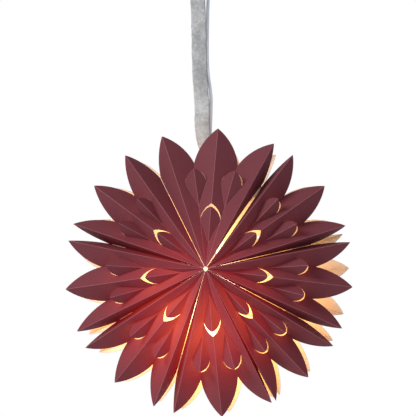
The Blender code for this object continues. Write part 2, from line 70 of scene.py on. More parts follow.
# each section's middle, the half angle to its outer petals and how far its middle petal leans, clockwise from
# the top as the front shows them, in degrees
FRONT_SECTIONS = (
    (4.35, 23.25, -0.25), (54.2, 17.9, 0.0), (96.1, 17.3, 0.5), (136.7, 15.7, 0.0),
    (173.85, 19.75, 0.65), (219.95, 18.15, 0.0), (263.85, 18.55, -1.05), (306.9, 17.6, 0.0),
)
BACK_SECTIONS = (
    (5.0, 23.4, 0.0), (52.0, 17.5, -1.7), (90.0, 16.9, -2.4), (134.7, 16.0, 0.0),
    (172.7, 19.8, 0.0), (218.9, 16.6, 0.0), (262.0, 18.0, 0.0), (309.5, 17.5, 0.0),
)
# the slits between sections, from the one after section 1 round to the one after section 8
FRONT_SLITS = (31.95, 75.45, 117.2, 153.25, 197.7, 241.7, 285.85, 332.8)
BACK_SLITS = (31.6, 71.3, 112.7, 151.8, 197.2, 239.8, 286.0, 334.3)
# half opening of each slit in degrees, in the same order
FRONT_GAPS = (0.20, 0.09, 0.08, -0.06, 0.11, -0.06, -0.06, 0.10)
BACK_GAPS = (0.20, 0.08, 0.08, 0.08, 0.08, 0.08, 0.08, 0.08)
SEAM_BOW = 0.0058          # how far the walls beside the seam that opens are hollowed

STAR = Vector((0.0, 0.0, -0.508))
LAMP_X = -0.010
BULB = STAR + Vector((LAMP_X, 0, -0.061))
GLOW_SPOT = BULB + Vector((-0.012, 0, -0.006))     # where the light that comes through the paper is centred
CORD_RADIUS = 0.0027
CORD_ROUTE = (
    (-0.0030, 0.010, 0.4677), (-0.0033, 0.0085, 0.452), (-0.0038, 0.0062, 0.432), (-0.0043, 0.0048, 0.400),
    (-0.0045, 0.0042, 0.368), (-0.0041, 0.0040, 0.342), (-0.0027, 0.0040, 0.322), (-0.0001, 0.0040, 0.304),
    (0.0017, 0.0040, 0.286), (0.0015, 0.0040, 0.262), (0.0006, 0.0042, 0.236), (0.0005, 0.0044, 0.212),
    (0.0012, 0.0046, 0.186), (0.0026, 0.0046, 0.160), (0.0044, 0.0050, 0.136), (0.0040, 0.0050, 0.118),
    (0.0010, 0.0036, 0.110), (-0.0050, 0.0014, 0.1035), (-0.0090, 0.0003, 0.0975), (-0.010, 0.0, 0.0930),
    (-0.010, 0.0, 0.0889),
)
RIBBON_WIDTH = 0.0246
RIBBON_Y = -0.002
HOOK_BAR = Vector((-0.0200, RIBBON_Y, 0.4625))
HOOK_RADIUS = 0.00175
HANGER_UNDER = 0.118 - 0.00075
RIBBON_ROUTE = (
    (-0.0197, 0.456), (-0.0193, 0.440), (-0.0183, 0.410), (-0.0177, 0.380), (-0.0171, 0.350),
    (-0.0161, 0.322), (-0.0147, 0.300), (-0.0133, 0.284), (-0.0127, 0.262), (-0.0123, 0.240),
    (-0.0112, 0.2185), (-0.0103, 0.195), (-0.0097, 0.170), (-0.0095, 0.145), (-0.0095, 0.126),
)
RIBBON_TURN = 0.72         # radians that the ribbon turns below its fold
FOLD_HEIGHT = 0.237        # above the star's centre

LAMP_GLOW = 5.0
AMBIENT = 0.42
LENS, SENSOR = 99.0, 36.0  # millimetres
CAMERA_AZIMUTH, CAMERA_ELEVATION, CAMERA_DISTANCE = 3.5, -3.1, 1.795
FRONT_FACE = Vector((0, -0.0455, 0))            # about as far forward as the front petals' outer ends
AIM = Vector((-0.0002, 0, 0.0994))
FLOOR_RADIUS, FLOOR_HEIGHT = 6.0, -1.35

STAR_BODY = "hanging_star"
BULB_BODY = "bulb"


# ---------------------------------------------------------------- objects
def place(name, data, body):
    obj = bpy.data.objects.new(name, data)
    bpy.context.scene.collection.objects.link(obj)
    obj["body"] = body
    return obj


def finish_piece(obj, slot, *nodes):
    body = obj["body"]
    del obj["body"]
    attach(obj, body)
    if nodes:
        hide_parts(*nodes)


def mesh_from(name, bm):
    mesh = bpy.data.meshes.new(name)
    bm.to_mesh(mesh)
    bm.free()
    return mesh


def smooth_route(points, step):
    """Points every step metres along a Catmull-Rom curve through the route's own points."""
    p = np.array(points, float)
    p = np.vstack([2 * p[0] - p[1], p, 2 * p[-1] - p[-2]])
    fine = []
    for a, b, c, d in zip(p, p[1:], p[2:], p[3:]):
        for t in np.linspace(0, 1, 12, endpoint=False):
            fine.append(0.5 * (2 * b + (c - a) * t + (2 * a - 5 * b + 4 * c - d) * t**2
                               + (3 * b - a - 3 * c + d) * t**3))
    fine = np.array([*fine, p[-2]])
    run = np.concatenate([[0], np.cumsum(np.linalg.norm(np.diff(fine, axis=0), axis=1))])
    at = np.linspace(0, run[-1], max(2, round(run[-1] / step) + 1))
    return np.column_stack([np.interp(at, run, fine[:, k]) for k in range(3)]), run[-1]


# ---------------------------------------------------------------- node materials
class Nodes:
    """A short way to write a material's node graph."""

    def __init__(self, name):
        self.mat = bpy.data.materials.new(name)
        self.mat.use_nodes = True
        self.tree = self.mat.node_tree
        self.shader = self.tree.nodes["Principled BSDF"]

    def link(self, a, b):
        self.tree.links.new(a, b)

    def set(self, **values):
        for key, value in values.items():
            self.shader.inputs[key.replace("_", " ")].default_value = value

    def math(self, operation, a, b=None):
        node = self.tree.nodes.new("ShaderNodeMath")
        node.operation = operation
        for k, value in enumerate((a, b)):
            if value is None:
                continue
            if isinstance(value, (int, float)):
                node.inputs[k].default_value = value
            else:
                self.link(value, node.inputs[k])
        return node.outputs[0]

    def vector(self, operation, a, b=None):
        node = self.tree.nodes.new("ShaderNodeVectorMath")
        node.operation = operation
        for k, value in enumerate((a, b)):
            if value is None:
                continue
            if isinstance(value, (tuple, list, Vector)):
                node.inputs[k].default_value = tuple(value)
            else:
                self.link(value, node.inputs[k])
        return node.outputs["Value" if operation in ("DOT_PRODUCT", "LENGTH") else "Vector"]

    def vector_scale(self, vector, scale):
        node = self.tree.nodes.new("ShaderNodeVectorMath")
        node.operation = "SCALE"
        self.link(vector, node.inputs[0])
        self.link(scale, node.inputs["Scale"])
        return node.outputs["Vector"]

    def noise(self, scale, detail=3.0, rough=0.55, coords=None):
        node = self.tree.nodes.new("ShaderNodeTexNoise")
        node.inputs["Scale"].default_value = scale
        node.inputs["Detail"].default_value = detail
        node.inputs["Roughness"].default_value = rough
        self.link(self.coords() if coords is None else coords, node.inputs["Vector"])
        return node.outputs["Fac"]

    def coords(self):
        for node in self.tree.nodes:
            if node.bl_idname == "ShaderNodeTexCoord":
                return node.outputs["Object"]
        return self.tree.nodes.new("ShaderNodeTexCoord").outputs["Object"]

    def ramp(self, fac, *stops):
        node = self.tree.nodes.new("ShaderNodeValToRGB")
        while len(node.color_ramp.elements) < len(stops):
            node.color_ramp.elements.new(0.5)
        for element, (at, colour) in zip(node.color_ramp.elements, stops):
            element.position = at
            element.color = (*colour, 1.0)
        self.link(fac, node.inputs["Fac"])
        return node.outputs["Color"]

    def bump(self, height, strength, distance):
        node = self.tree.nodes.new("ShaderNodeBump")
        node.inputs["Strength"].default_value = strength
        node.inputs["Distance"].default_value = distance
        self.link(height, node.inputs["Height"])
        self.link(node.outputs["Normal"], self.shader.inputs["Normal"])

    def colour(self, output):
        self.link(output, self.shader.inputs["Base Color"])

    def glow(self, colour, strength):
        self.link(colour, self.shader.inputs["Emission Color"])
        self.shader.inputs["Emission Strength"].default_value = strength


def grey(value):
    return (value, value, value)


def lamp_light(n, centre=BULB, through=False):
    """The cosine from the paper to a light at a point, and how far off it is in metres."""
    geometry = n.tree.nodes.new("ShaderNodeNewGeometry")
    away = n.vector("SUBTRACT", n.coords(), tuple(centre))
    distance = n.vector("LENGTH", away)
    facing = n.vector("DOT_PRODUCT", n.vector("NORMALIZE", away), geometry.outputs["Normal"])
    if not through:
        facing = n.math("MULTIPLY", facing, -1.0)
    return n.math("MAXIMUM", facing, 0.0), distance


def outside_paper(name, dark, light, glow_scale=1.0):
    """Dyed matte paper with fine fibres; the lamp shows through it in red."""
    n = Nodes(name)
    fibre = n.noise(900.0, 4.0, 0.7)
    felt = n.noise(300.0, 4.0, 0.75)
    cloud = n.noise(14.0, 2.0, 0.5)
    grain = n.math("ADD", n.math("MULTIPLY", fibre, 0.35), n.math("MULTIPLY", felt, 0.45))
    mix = n.math("ADD", grain, n.math("MULTIPLY", cloud, 0.20))
    n.colour(n.ramp(mix, (0.34, dark), (0.66, light)))
    n.set(Roughness=0.78, Specular_IOR_Level=0.30)
    n.bump(grain, 0.35, 0.0004)
    facing, distance = lamp_light(n, GLOW_SPOT, through=True)
    near = n.math("DIVIDE", n.math("MULTIPLY", facing, 0.0040), n.math("MULTIPLY", distance, distance))
    fall = n.math("ADD", 1.0, n.math("POWER", n.math("MULTIPLY", distance, 7.6), 5.0))
    spread = n.math("DIVIDE", 0.46, fall)
    patchy = n.math("ADD", n.math("MULTIPLY", cloud, 0.4), 0.8)
    light_through = n.math("MULTIPLY", n.math("ADD", near, spread), patchy)
    glow = n.ramp(n.math("MULTIPLY", light_through, glow_scale),
                  (0.0, (0.0, 0.0, 0.0)), (0.20, (0.040, 0.0003, 0.0004)),
                  (0.50, (0.20, 0.0035, 0.0030)), (1.0, (0.56, 0.046, 0.014)))
    n.glow(glow, 1.0)
    return n.mat


def inside_glow(n):
    """Lamplight on the paper's inside: pale yellow near the bulb, then orange, and faint at the tips."""
    facing, distance = lamp_light(n)
    light = n.ramp(n.math("MULTIPLY", distance, 4.0), (0.26, (1.0, 0.80, 0.44)), (0.40, (0.44, 0.27, 0.050)),
                   (0.54, (0.27, 0.130, 0.012)), (0.68, (0.20, 0.075, 0.004)), (0.80, (0.10, 0.033, 0.002)),
                   (0.88, (0.022, 0.008, 0.001)), (0.96, (0.002, 0.0015, 0.001)))
    square_on = n.math("ADD", n.math("MULTIPLY", facing, 0.95), 0.22)
    return light, square_on


def inside_paper():
    """The pale inside; close to the star's middle, where the holder and bulb dazzle, it is white."""
    n = Nodes("paper_inside_lit")
    fibre = n.noise(900.0, 4.0, 0.7)
    n.colour(n.ramp(fibre, (0.3, (0.74, 0.61, 0.51)), (0.7, (0.84, 0.73, 0.64))))
    n.set(Roughness=0.85, Specular_IOR_Level=0.25)
    n.bump(fibre, 0.2, 0.0003)
    light, square_on = inside_glow(n)
    from_star = n.vector("SUBTRACT", n.coords(), tuple(STAR))
    off_axis = n.vector("LENGTH", n.vector("MULTIPLY", from_star, (1, 0, 1)))
    fall = n.math("POWER", n.math("MULTIPLY", off_axis, 16.0), 4.0)
    dazzle = n.math("DIVIDE", 0.9, n.math("ADD", 1.0, fall))
    white = n.ramp(dazzle, (0.0, (0.0, 0.0, 0.0)), (0.4, (0.24, 0.15, 0.04)), (0.9, (0.9, 0.80, 0.58)))
    lit = n.vector("ADD", n.vector_scale(light, square_on), white)
    n.glow(lit, 3.0)
    return n.mat


def rim_paper():
    """The cut edge of the paper, a little paler than its dyed face."""
    n = Nodes("paper_cut_edge")
    fibre = n.noise(1500.0, 3.0, 0.6)
    n.colour(n.ramp(fibre, (0.3, (0.24, 0.075, 0.085)), (0.7, (0.34, 0.13, 0.13))))
    n.set(Roughness=0.9, Specular_IOR_Level=0.2)
    n.bump(fibre, 0.3, 0.0002)
    return n.mat


def white_paper():
    n = Nodes("white_tab_paper")
    fibre = n.noise(700.0, 4.0, 0.7)
    n.colour(n.ramp(fibre, (0.3, (0.78, 0.70, 0.60)), (0.7, (0.86, 0.79, 0.70))))
    n.set(Roughness=0.85, Specular_IOR_Level=0.25)
    n.bump(fibre, 0.3, 0.0004)
    light, square_on = inside_glow(n)
    n.glow(n.vector_scale(light, square_on), 2.0)
    return n.mat


def card():
    n = Nodes("grey_board")
    fibre = n.noise(260.0, 6.0, 0.75)
    n.colour(n.ramp(fibre, (0.25, (0.30, 0.26, 0.20)), (0.75, (0.48, 0.43, 0.36))))
    n.set(Roughness=0.92, Specular_IOR_Level=0.2)
    n.bump(fibre, 0.5, 0.0004)
    return n.mat


def tape():
    """Napped closure tape: a dense field of little loops."""
    n = Nodes("closure_nap")
    loops = n.tree.nodes.new("ShaderNodeTexVoronoi")
    loops.inputs["Scale"].default_value = 1400.0
    n.link(n.coords(), loops.inputs["Vector"])
    n.colour(n.ramp(loops.outputs["Distance"], (0.1, (0.80, 0.78, 0.74)), (0.8, (0.55, 0.53, 0.50))))
    n.set(Roughness=0.95, Specular_IOR_Level=0.15, Sheen_Weight=0.3)
    n.bump(loops.outputs["Distance"], 0.8, 0.0006)
    light, square_on = inside_glow(n)
    n.glow(n.vector_scale(light, square_on), 2.0)
    return n.mat


def ribbon_cloth():
    """Grey woven ribbon: warp ribs down its length, finer weft across, slubs and a soft sheen."""
    n = Nodes("grey_woven_ribbon")
    split = n.tree.nodes.new("ShaderNodeSeparateXYZ")
    n.link(n.coords(), split.inputs[0])
    wobble = n.noise(60.0, 3.0, 0.6)
    warp = n.math("SINE", n.math("ADD", n.math("MULTIPLY", split.outputs["X"], 2 * math.pi / 0.0009),
                                 n.math("MULTIPLY", wobble, 3.0)))
    weft = n.math("SINE", n.math("ADD", n.math("MULTIPLY", split.outputs["Z"], 2 * math.pi / 0.0007),
                                 n.math("MULTIPLY", wobble, 4.0)))
    weave = n.math("ADD", n.math("MULTIPLY", n.math("MULTIPLY", warp, weft), 0.5), 0.5)
    slub = n.noise(240.0, 5.0, 0.8)
    cloud = n.noise(35.0, 3.0, 0.6)
    tone = n.math("ADD", n.math("MULTIPLY", weave, 0.22),
                  n.math("ADD", n.math("MULTIPLY", slub, 0.45), n.math("MULTIPLY", cloud, 0.33)))
    n.colour(n.ramp(tone, (0.34, (0.22, 0.22, 0.225)), (0.50, (0.45, 0.455, 0.46)),
                    (0.66, (0.76, 0.765, 0.775))))
    n.set(Roughness=0.82, Specular_IOR_Level=0.3, Sheen_Weight=0.35, Sheen_Roughness=0.4)
    n.bump(n.math("ADD", weave, slub), 0.45, 0.0004)
    return n.mat


def plastic(name, light, dark, roughness, grain, glowing=0.0):
    """Moulded plastic with a fine spark-eroded grain and faint flow marks; with glowing set, the bulb's light
    on it is painted in as glow.
    """
    n = Nodes(name)
    fine = n.noise(grain, 2.0, 0.5)
    flow = n.noise(40.0, 2.0, 0.5)
    n.colour(n.ramp(flow, (0.3, dark), (0.7, light)))
    n.set(Roughness=roughness, Specular_IOR_Level=0.5)
    n.bump(fine, 0.12, 0.0002)
    if glowing:
        # painted light: the bulb's light falling on the plastic, added as glow
        facing, distance = lamp_light(n)
        lit = n.math("DIVIDE", n.math("MULTIPLY", facing, 0.004), n.math("MULTIPLY", distance, distance))
        n.glow(n.ramp(lit, (0.0, (0, 0, 0)), (1.0, (0.6, 0.34, 0.13))), glowing)
    return n.mat


def metal(name, light, dark, roughness, scratch=(900.0, 900.0, 60.0)):
    """Plated metal: fine scratches, and roughness that varies a little."""
    n = Nodes(name)
    mapping = n.tree.nodes.new("ShaderNodeMapping")
    mapping.inputs["Scale"].default_value = scratch
    n.link(n.coords(), mapping.inputs["Vector"])
    lines = n.noise(1.0, 3.0, 0.6, mapping.outputs["Vector"])
    n.colour(n.ramp(lines, (0.3, dark), (0.7, light)))
    n.set(Metallic=1.0)
    n.link(n.math("ADD", n.math("MULTIPLY", lines, 0.18), roughness - 0.09), n.shader.inputs["Roughness"])
    n.bump(lines, 0.1, 0.0001)
    return n.mat


def opal():
    n = Nodes("opal_diffuser")
    cloud = n.noise(60.0, 2.0, 0.5)
    n.colour(n.ramp(cloud, (0.3, (0.92, 0.86, 0.76)), (0.7, (0.96, 0.92, 0.84))))
    n.set(Roughness=0.35, Specular_IOR_Level=0.5)
    split = n.tree.nodes.new("ShaderNodeSeparateXYZ")
    n.link(n.coords(), split.inputs[0])
    height = n.math("DIVIDE", n.math("SUBTRACT", split.outputs["Z"], STAR.z - 0.092), 0.05)
    warm = n.ramp(height, (0.0, (1.0, 0.74, 0.42)), (0.6, (1.0, 0.78, 0.48)), (1.0, (0.8, 0.52, 0.26)))
    n.glow(warm, LAMP_GLOW)
    return n.mat


def phosphor():
    n = Nodes("led_phosphor")
    grain = n.noise(1200.0, 2.0, 0.5)
    n.colour(n.ramp(grain, (0.3, (0.85, 0.65, 0.12)), (0.7, (0.95, 0.78, 0.25))))
    n.set(Roughness=0.5)
    n.glow(n.ramp(grain, (0.0, (1.0, 0.8, 0.45)), (1.0, (1.0, 0.85, 0.55))), 4.0)
    return n.mat


def floor_material():
    n = Nodes("pale_floor")
    cloud = n.noise(0.8, 3.0, 0.5)
    n.colour(n.ramp(cloud, (0.3, grey(0.80)), (0.7, grey(0.84))))
    n.set(Roughness=0.9, Specular_IOR_Level=0.2)
    n.glow(n.ramp(cloud, (0.3, grey(0.92)), (0.7, grey(1.0))), 0.22)
    return n.mat


# ---------------------------------------------------------------- folded paper
def ray(azimuth, slope):
    """Unit direction from the front apex at an angle clockwise from the top, leaning back by slope."""
    a = math.radians(azimuth)
    return Vector((math.cos(slope) * math.sin(a), math.sin(slope), math.cos(slope) * math.cos(a)))


def valley_slope(step):
    a = math.cos(RIDGE_SLOPE) * math.cos(math.radians(step))
    b = math.sin(RIDGE_SLOPE)
    return math.atan2(b, a) + math.acos(min(1.0, math.cos(PANEL_ANGLE) / math.hypot(a, b)))


RIDGE_LENGTH = TIP_RADIUS / math.cos(RIDGE_SLOPE)
VALLEY_LENGTH = NOTCH_SHARE * RIDGE_LENGTH


def arc(a, b, bulge, away, steps):
    chord = b - a
    mid = (a + b) / 2
    out = mid - away
    out = (out - chord * (out.dot(chord) / chord.length_squared)).normalized()
    sagitta = bulge * chord.length
    radius = (chord.length**2 / 4 + sagitta**2) / (2 * sagitta)
    half = math.asin(chord.length / 2 / radius)
    along = chord.normalized()
    points = []
    for i in range(1, steps):
        angle = -half + 2 * half * i / steps
        rise = radius * math.cos(angle) - radius + sagitta
        points.append(mid + along * (radius * math.sin(angle)) + out * rise)
    return [a, *points, b]


def reflect(point, a, b, c):
    normal = (b - a).cross(c - a).normalized()
    return point - normal * (2 * (point - a).dot(normal))


def toward(a, b, distance):
    return a + (b - a).normalized() * distance


def shortened(points, root, trim):
    """A flap's cut edge, drawn back a little along the line from the flap's root to its last point."""
    axis = (points[-1] - root).normalized()
    return [p - axis * ((1 - trim) * (p - root).dot(axis)) for p in points]


def hollowed(a, b, toward_point, bow, steps):
    """Points between a and b that bow towards a third point, as a sine curve."""
    side = toward_point - a
    side = (side - (b - a) * (side.dot(b - a) / (b - a).length_squared)).normalized()
    return [a.lerp(b, i / steps) + side * (bow * math.sin(math.pi * i / steps)) for i in range(1, steps)]


def section_faces(centre, spread, lean, wall_before, wall_after, bows, trim):
    """Polygons of one front section: three petals, two walls, one inner flap and two outer flaps."""
    middle = math.radians(centre)
    apex = Vector((APEX_SHIFT * math.sin(middle), APEX_Y, APEX_SHIFT * math.cos(middle)))

    def on(direction, distance):
        return apex + direction * distance

    petals = (centre - spread, centre + lean, centre + spread)
    ridges = [ray(p, RIDGE_SLOPE) for p in petals]
    valleys = [ray((p + q) / 2, valley_slope((q - p) / 2)) for p, q in zip(petals, petals[1:])]
    walls = [ray(w, valley_slope(abs(w - centre - k * spread)))
             for w, k in ((wall_before, -1), (wall_after, 1))]
    faces = []

    for wall, ridge, bow in zip(walls, (ridges[0], ridges[2]), bows):
        start, notch, tip = on(wall, APEX_CUT), on(wall, VALLEY_LENGTH), on(ridge, RIDGE_LENGTH)
        inner = hollowed(start, notch, tip, bow, BOW_STEPS) if bow else []
        edge = arc(notch, tip, PETAL_BULGE, apex, EDGE_STEPS)
        faces.append([start, *inner, *edge, on(ridge, APEX_CUT)])

    ends = [on(v, INNER_END * VALLEY_LENGTH) for v in valleys]
    fold = on(ridges[1], INNER_FOLD * RIDGE_LENGTH)
    hole = on(ridges[1], INNER_HOLE * RIDGE_LENGTH)
    sunk = reflect(fold, apex, *ends)

    for side, (valley, end) in enumerate(zip(valleys, ends)):
        outer_ridge = ridges[2 * side]
        notch = on(valley, VALLEY_LENGTH)
        start = on(valley, OUTER_FOLD * VALLEY_LENGTH)
        outer_hole = on(valley, OUTER_HOLE * VALLEY_LENGTH)
        reaches = []
        for ridge in (outer_ridge, ridges[1]):
            across = (ridge - valley * ridge.dot(valley)).normalized()
            reaches.append(on(valley, OUTER_END * VALLEY_LENGTH) + across * OUTER_REACH)
        cuts = [arc(reach, outer_hole, FLAP_BULGE, start, FLAP_STEPS) for reach in reaches]
        for reach, cut in zip(reaches, cuts):
            relief = toward(reach, start, FOLD_RELIEF)
            popped = shortened([reflect(p, start, *reaches) for p in cut], start, trim)
            faces.append([start, relief, *popped[1:]])
        side_rim = [[*reversed(cut), toward(reach, start, FOLD_RELIEF), start]
                    for reach, cut in zip(reaches, cuts)]

        tip = on(outer_ridge, RIDGE_LENGTH)
        faces.append([on(outer_ridge, APEX_CUT), *reversed(arc(notch, tip, PETAL_BULGE, apex, EDGE_STEPS)),
                      *side_rim[0], end, on(valley, APEX_CUT)])
        tip = on(ridges[1], RIDGE_LENGTH)
        inner_cut = arc(end, hole, FLAP_BULGE, fold, FLAP_STEPS)
        faces.append([*inner_cut, *reversed(arc(notch, tip, PETAL_BULGE, apex, EDGE_STEPS)), *side_rim[1]])
        relief = toward(end, sunk, FOLD_RELIEF)
        faces.append([on(valley, APEX_CUT), end, relief, sunk, toward(apex, sunk, APEX_CUT)])
        popped = shortened([reflect(reflect(p, apex, *ends), sunk, *ends) for p in inner_cut], sunk, trim)
        faces.append([sunk, relief, *popped[1:]])
    return faces


def paper_sheet(name, faces, mirrored, mats):
    """One folded sheet: burgundy outside, pale inside, with paler crease lines on its outward folds, partly
    wear and partly a painted highlight.
    """
    bm = bmesh.new()
    for face in faces:
        bm.faces.new([bm.verts.new((p.x, -p.y if mirrored else p.y, p.z + STAR.z)) for p in face])
    bmesh.ops.remove_doubles(bm, verts=bm.verts, dist=0.00002)
    bmesh.ops.recalc_face_normals(bm, faces=bm.faces)
    outward = 1.0 if mirrored else -1.0
    if sum(f.normal.y * f.calc_area() for f in bm.faces) * outward < 0:
        bmesh.ops.reverse_faces(bm, faces=bm.faces)
    folds = [e for e in bm.edges if len(e.link_faces) == 2 and e.calc_face_angle(0.0) > 0.05]
    # the bevel faces along the folds take slot 3, the paler crease paper: wear plus a painted highlight
    bmesh.ops.bevel(bm, geom=folds, offset=CREASE_HALF, offset_type="OFFSET", segments=2, profile=0.5,
                    affect="EDGES", clamp_overlap=True, material=3)
    mesh = mesh_from(name, bm)
    obj = place(name, mesh, STAR_BODY)
    for mat in mats:
        mesh.materials.append(mat)
    mod = obj.modifiers.new("thickness", "SOLIDIFY")
    mod.thickness = PAPER
    mod.offset = 0.0
    mod.use_rim = True
    mod.material_offset = 1
    mod.material_offset_rim = 2
    return obj


def paper_star():
    outside = outside_paper("paper_burgundy", (0.138, 0.030, 0.041), (0.180, 0.042, 0.056))
    # paler paper for the crease lines: wear plus a painted highlight along the folds
    crease_wear_and_highlight = outside_paper("paper_crease_wear_and_highlight", (0.34, 0.13, 0.15), (0.46, 0.20, 0.22), 0.8)
    inside = inside_paper()
    rim = rim_paper()
    mats = (outside, inside, rim, crease_wear_and_highlight, inside)
    for side, table, slits, gaps in (("front", FRONT_SECTIONS, FRONT_SLITS, FRONT_GAPS),
                                     ("back", BACK_SECTIONS, BACK_SLITS, BACK_GAPS)):
        for k, (centre, spread, lean) in enumerate(table):
            before = slits[k - 1] - (360 if k == 0 else 0) + gaps[k - 1]
            after = slits[k] - gaps[k]
            bows = (SEAM_BOW if k == 1 else 0.0, SEAM_BOW if k == 0 else 0.0)
            faces = section_faces(centre, spread, lean, before, after, bows, FLAP_TRIM[side])
            sheet = paper_sheet(f"{side}_paper_{k + 1}", faces, side == "back", mats)
            finish_piece(sheet, "burgundy_paper", f"{side}_section_{k + 1}")


# ---------------------------------------------------------------- ribbon and cord
def ribbon_line():
    """The ribbon's centre line: behind the hook bar, over it, down the front and under the hanger."""
    loop = HOOK_RADIUS + 0.0009
    points = [(HOOK_BAR.x, HOOK_BAR.y + loop, HOOK_BAR.z - below) for below in (0.020, 0.010)]
    for k in range(13):
        angle = math.pi * k / 12
        points.append((HOOK_BAR.x, HOOK_BAR.y + loop * math.cos(angle), HOOK_BAR.z + loop * math.sin(angle)))
    fine, _ = smooth_route([(x, RIBBON_Y, z) for x, z in RIBBON_ROUTE], 0.0025)
    for x, y, z in fine:
        ease = min(1.0, max(0.0, (z - 0.44) / 0.016))
        points.append((x, y - loop * ease, z))
    under = HANGER_UNDER - 0.0008
    x = RIBBON_ROUTE[-1][0]
    points += [(x, RIBBON_Y, under + 0.0012), (x, RIBBON_Y - 0.0005, under + 0.0002),
               (x, RIBBON_Y - 0.0015, under), (x, RIBBON_Y - 0.006, under), (x, RIBBON_Y - 0.010, under)]
    return points


def hanging_ribbon():
    """The woven strip: slightly wavy and crinkled, and turned edgeways below its fold."""
    columns = 12
    line = ribbon_line()
    bm = bmesh.new()
    rows = []
    for i, (x, y, z) in enumerate(line):
        free = max(0.0, min(1.0, (0.44 - z) / 0.03)) * max(0.0, min(1.0, (z - 0.13) / 0.03))
        twist = free * 0.0016 * math.sin(38.0 * z + 0.6)
        below_fold = max(0.0, min(1.0, (0.238 - z) / 0.045)) * max(0.0, min(1.0, (z - 0.135) / 0.040))
        turn = RIBBON_TURN * below_fold * below_fold * (3 - 2 * below_fold)
        row = []
        for c in range(columns + 1):
            u = 2.0 * c / columns - 1.0
            wave = 0.0005 * math.sin(95 * z + 1.3 * u) + 0.0003 * math.sin(230 * z + 2.5 * u)
            crinkle = 0.0013 * math.exp(-((z - FOLD_HEIGHT - 0.0010 * u) / 0.0032) ** 2) * (0.7 + 0.3 * u)
            ripple = math.sin(160 * z + (0 if u < 0 else 2.1)) + 0.6 * math.sin(410 * z + u)
            edge = 0.00025 * ripple * abs(u) ** 3
            across = u * (RIBBON_WIDTH / 2 - 0.0001) + free * edge * (1 if u > 0 else -1)
            off = free * (wave + crinkle + 0.0011 * u * u) + twist * u
            inward = RIBBON_WIDTH / 2 * (1 - math.cos(turn))
            side, depth = across * math.cos(turn), across * math.sin(turn)
            row.append(bm.verts.new((x + inward + side, y + off - depth, z + STAR.z)))
        rows.append(row)
    for a, b in zip(rows, rows[1:]):
        for k in range(columns):
            bm.faces.new((a[k], a[k + 1], b[k + 1], b[k]))
    bmesh.ops.recalc_face_normals(bm, faces=bm.faces)
    obj = place("woven_ribbon", mesh_from("woven_ribbon", bm), STAR_BODY)
    obj.data.materials.append(ribbon_cloth())
    obj.data.shade_smooth()
    mod = obj.modifiers.new("thickness", "SOLIDIFY")
    mod.thickness = 0.0006
    mod.offset = 0.0
    finish_piece(obj, "grey_ribbon", "hanging_ribbon")


def lamp_cord(grip):
    """The cord from the ceiling bush to the holder's grip."""
    points, length = smooth_route([(x, y, z + STAR.z) for x, y, z in CORD_ROUTE], 0.004)
    curve = bpy.data.curves.new("cord_sleeve", "CURVE")
    curve.dimensions = "3D"
    curve.bevel_depth = CORD_RADIUS
    curve.bevel_resolution = 6
    curve.use_fill_caps = True
    spline = curve.splines.new("POLY")
    spline.points.add(len(points) - 1)
    for point, xyz in zip(spline.points, points):
        point.co = (*xyz, 1.0)
    line = bpy.data.objects.new("cord_line", curve)
    bpy.context.scene.collection.objects.link(line)
    tube = bpy.data.meshes.new_from_object(line.evaluated_get(bpy.context.evaluated_depsgraph_get()))
    bpy.data.objects.remove(line, do_unlink=True)
    obj = bpy.data.objects.new("cord_sleeve", tube)
    bpy.context.scene.collection.objects.link(obj)
    tube.materials.clear()
    tube.materials.append(plastic("cord_pvc", (0.84, 0.87, 0.94), (0.76, 0.79, 0.88), 0.38, 1500.0))
    tube.shade_smooth()
    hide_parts("lamp_cord")
    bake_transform(obj)


# ---------------------------------------------------------------- turned pieces
def baked(obj):
    """The object with its modifiers made part of its mesh."""
    mesh = bpy.data.meshes.new_from_object(obj.evaluated_get(bpy.context.evaluated_depsgraph_get()))
    obj.modifiers.clear()
    obj.data = mesh


def turned(node, profile, mat, body, slot, axis=(LAMP_X, 0.0), closed=False, steps=72, soft=0.0003, holes=()):
    """A finely turned stand-in for a CAD node, from (radius, height above the star's centre) points."""
    bm = bmesh.new()
    verts = [bm.verts.new((r, 0.0, z)) for r, z in profile]
    for a, b in zip(verts, verts[1:]):
        bm.edges.new((a, b))
    if closed:
        bm.edges.new((verts[-1], verts[0]))
    bmesh.ops.spin(bm, geom=list(bm.verts) + list(bm.edges), cent=(0, 0, 0), axis=(0, 0, 1),
                   angle=2 * math.pi, steps=steps, use_merge=True)
    bmesh.ops.remove_doubles(bm, verts=bm.verts, dist=0.000005)
    bmesh.ops.recalc_face_normals(bm, faces=bm.faces)
    bmesh.ops.translate(bm, vec=(axis[0], axis[1], STAR.z), verts=bm.verts)
    obj = place(f"fine_{node}", mesh_from(node, bm), body)
    obj.data.materials.append(mat)
    cutters = []
    for x, y, radius in holes:
        cutters.append(hole_cutter(x, y, radius))
        cut = obj.modifiers.new("hole", "BOOLEAN")
        cut.operation = "DIFFERENCE"
        cut.object = cutters[-1]
    if soft:
        rounding = obj.modifiers.new("rounding", "BEVEL")
        rounding.width = soft
        rounding.segments = 2
        rounding.limit_method = "ANGLE"
        rounding.angle_limit = math.radians(28)
    baked(obj)
    for cutter in cutters:
        bpy.data.objects.remove(cutter, do_unlink=True)
    obj.data.shade_smooth()
    obj.data.set_sharp_from_angle(angle=math.radians(38))
    finish_piece(obj, slot, node)
    return obj


def hole_cutter(x, y, radius):
    bm = bmesh.new()
    bmesh.ops.create_cone(bm, cap_ends=True, segments=40, radius1=radius, radius2=radius, depth=0.05)
    obj = bpy.data.objects.new("hole_cutter", mesh_from("hole_cutter", bm))
    bpy.context.scene.collection.objects.link(obj)
    obj.location = (x, y, 0)
    bpy.context.view_layer.update()
    return obj


def threads(top, pitch, count, root, crest):
    """Profile points of round threads, from the top one down."""
    points = []
    for k in range(count):
        z = top - pitch * k
        points += [(root, z), (crest, z - 0.30 * pitch), (crest, z - 0.50 * pitch), (root, z - 0.80 * pitch)]
    return points


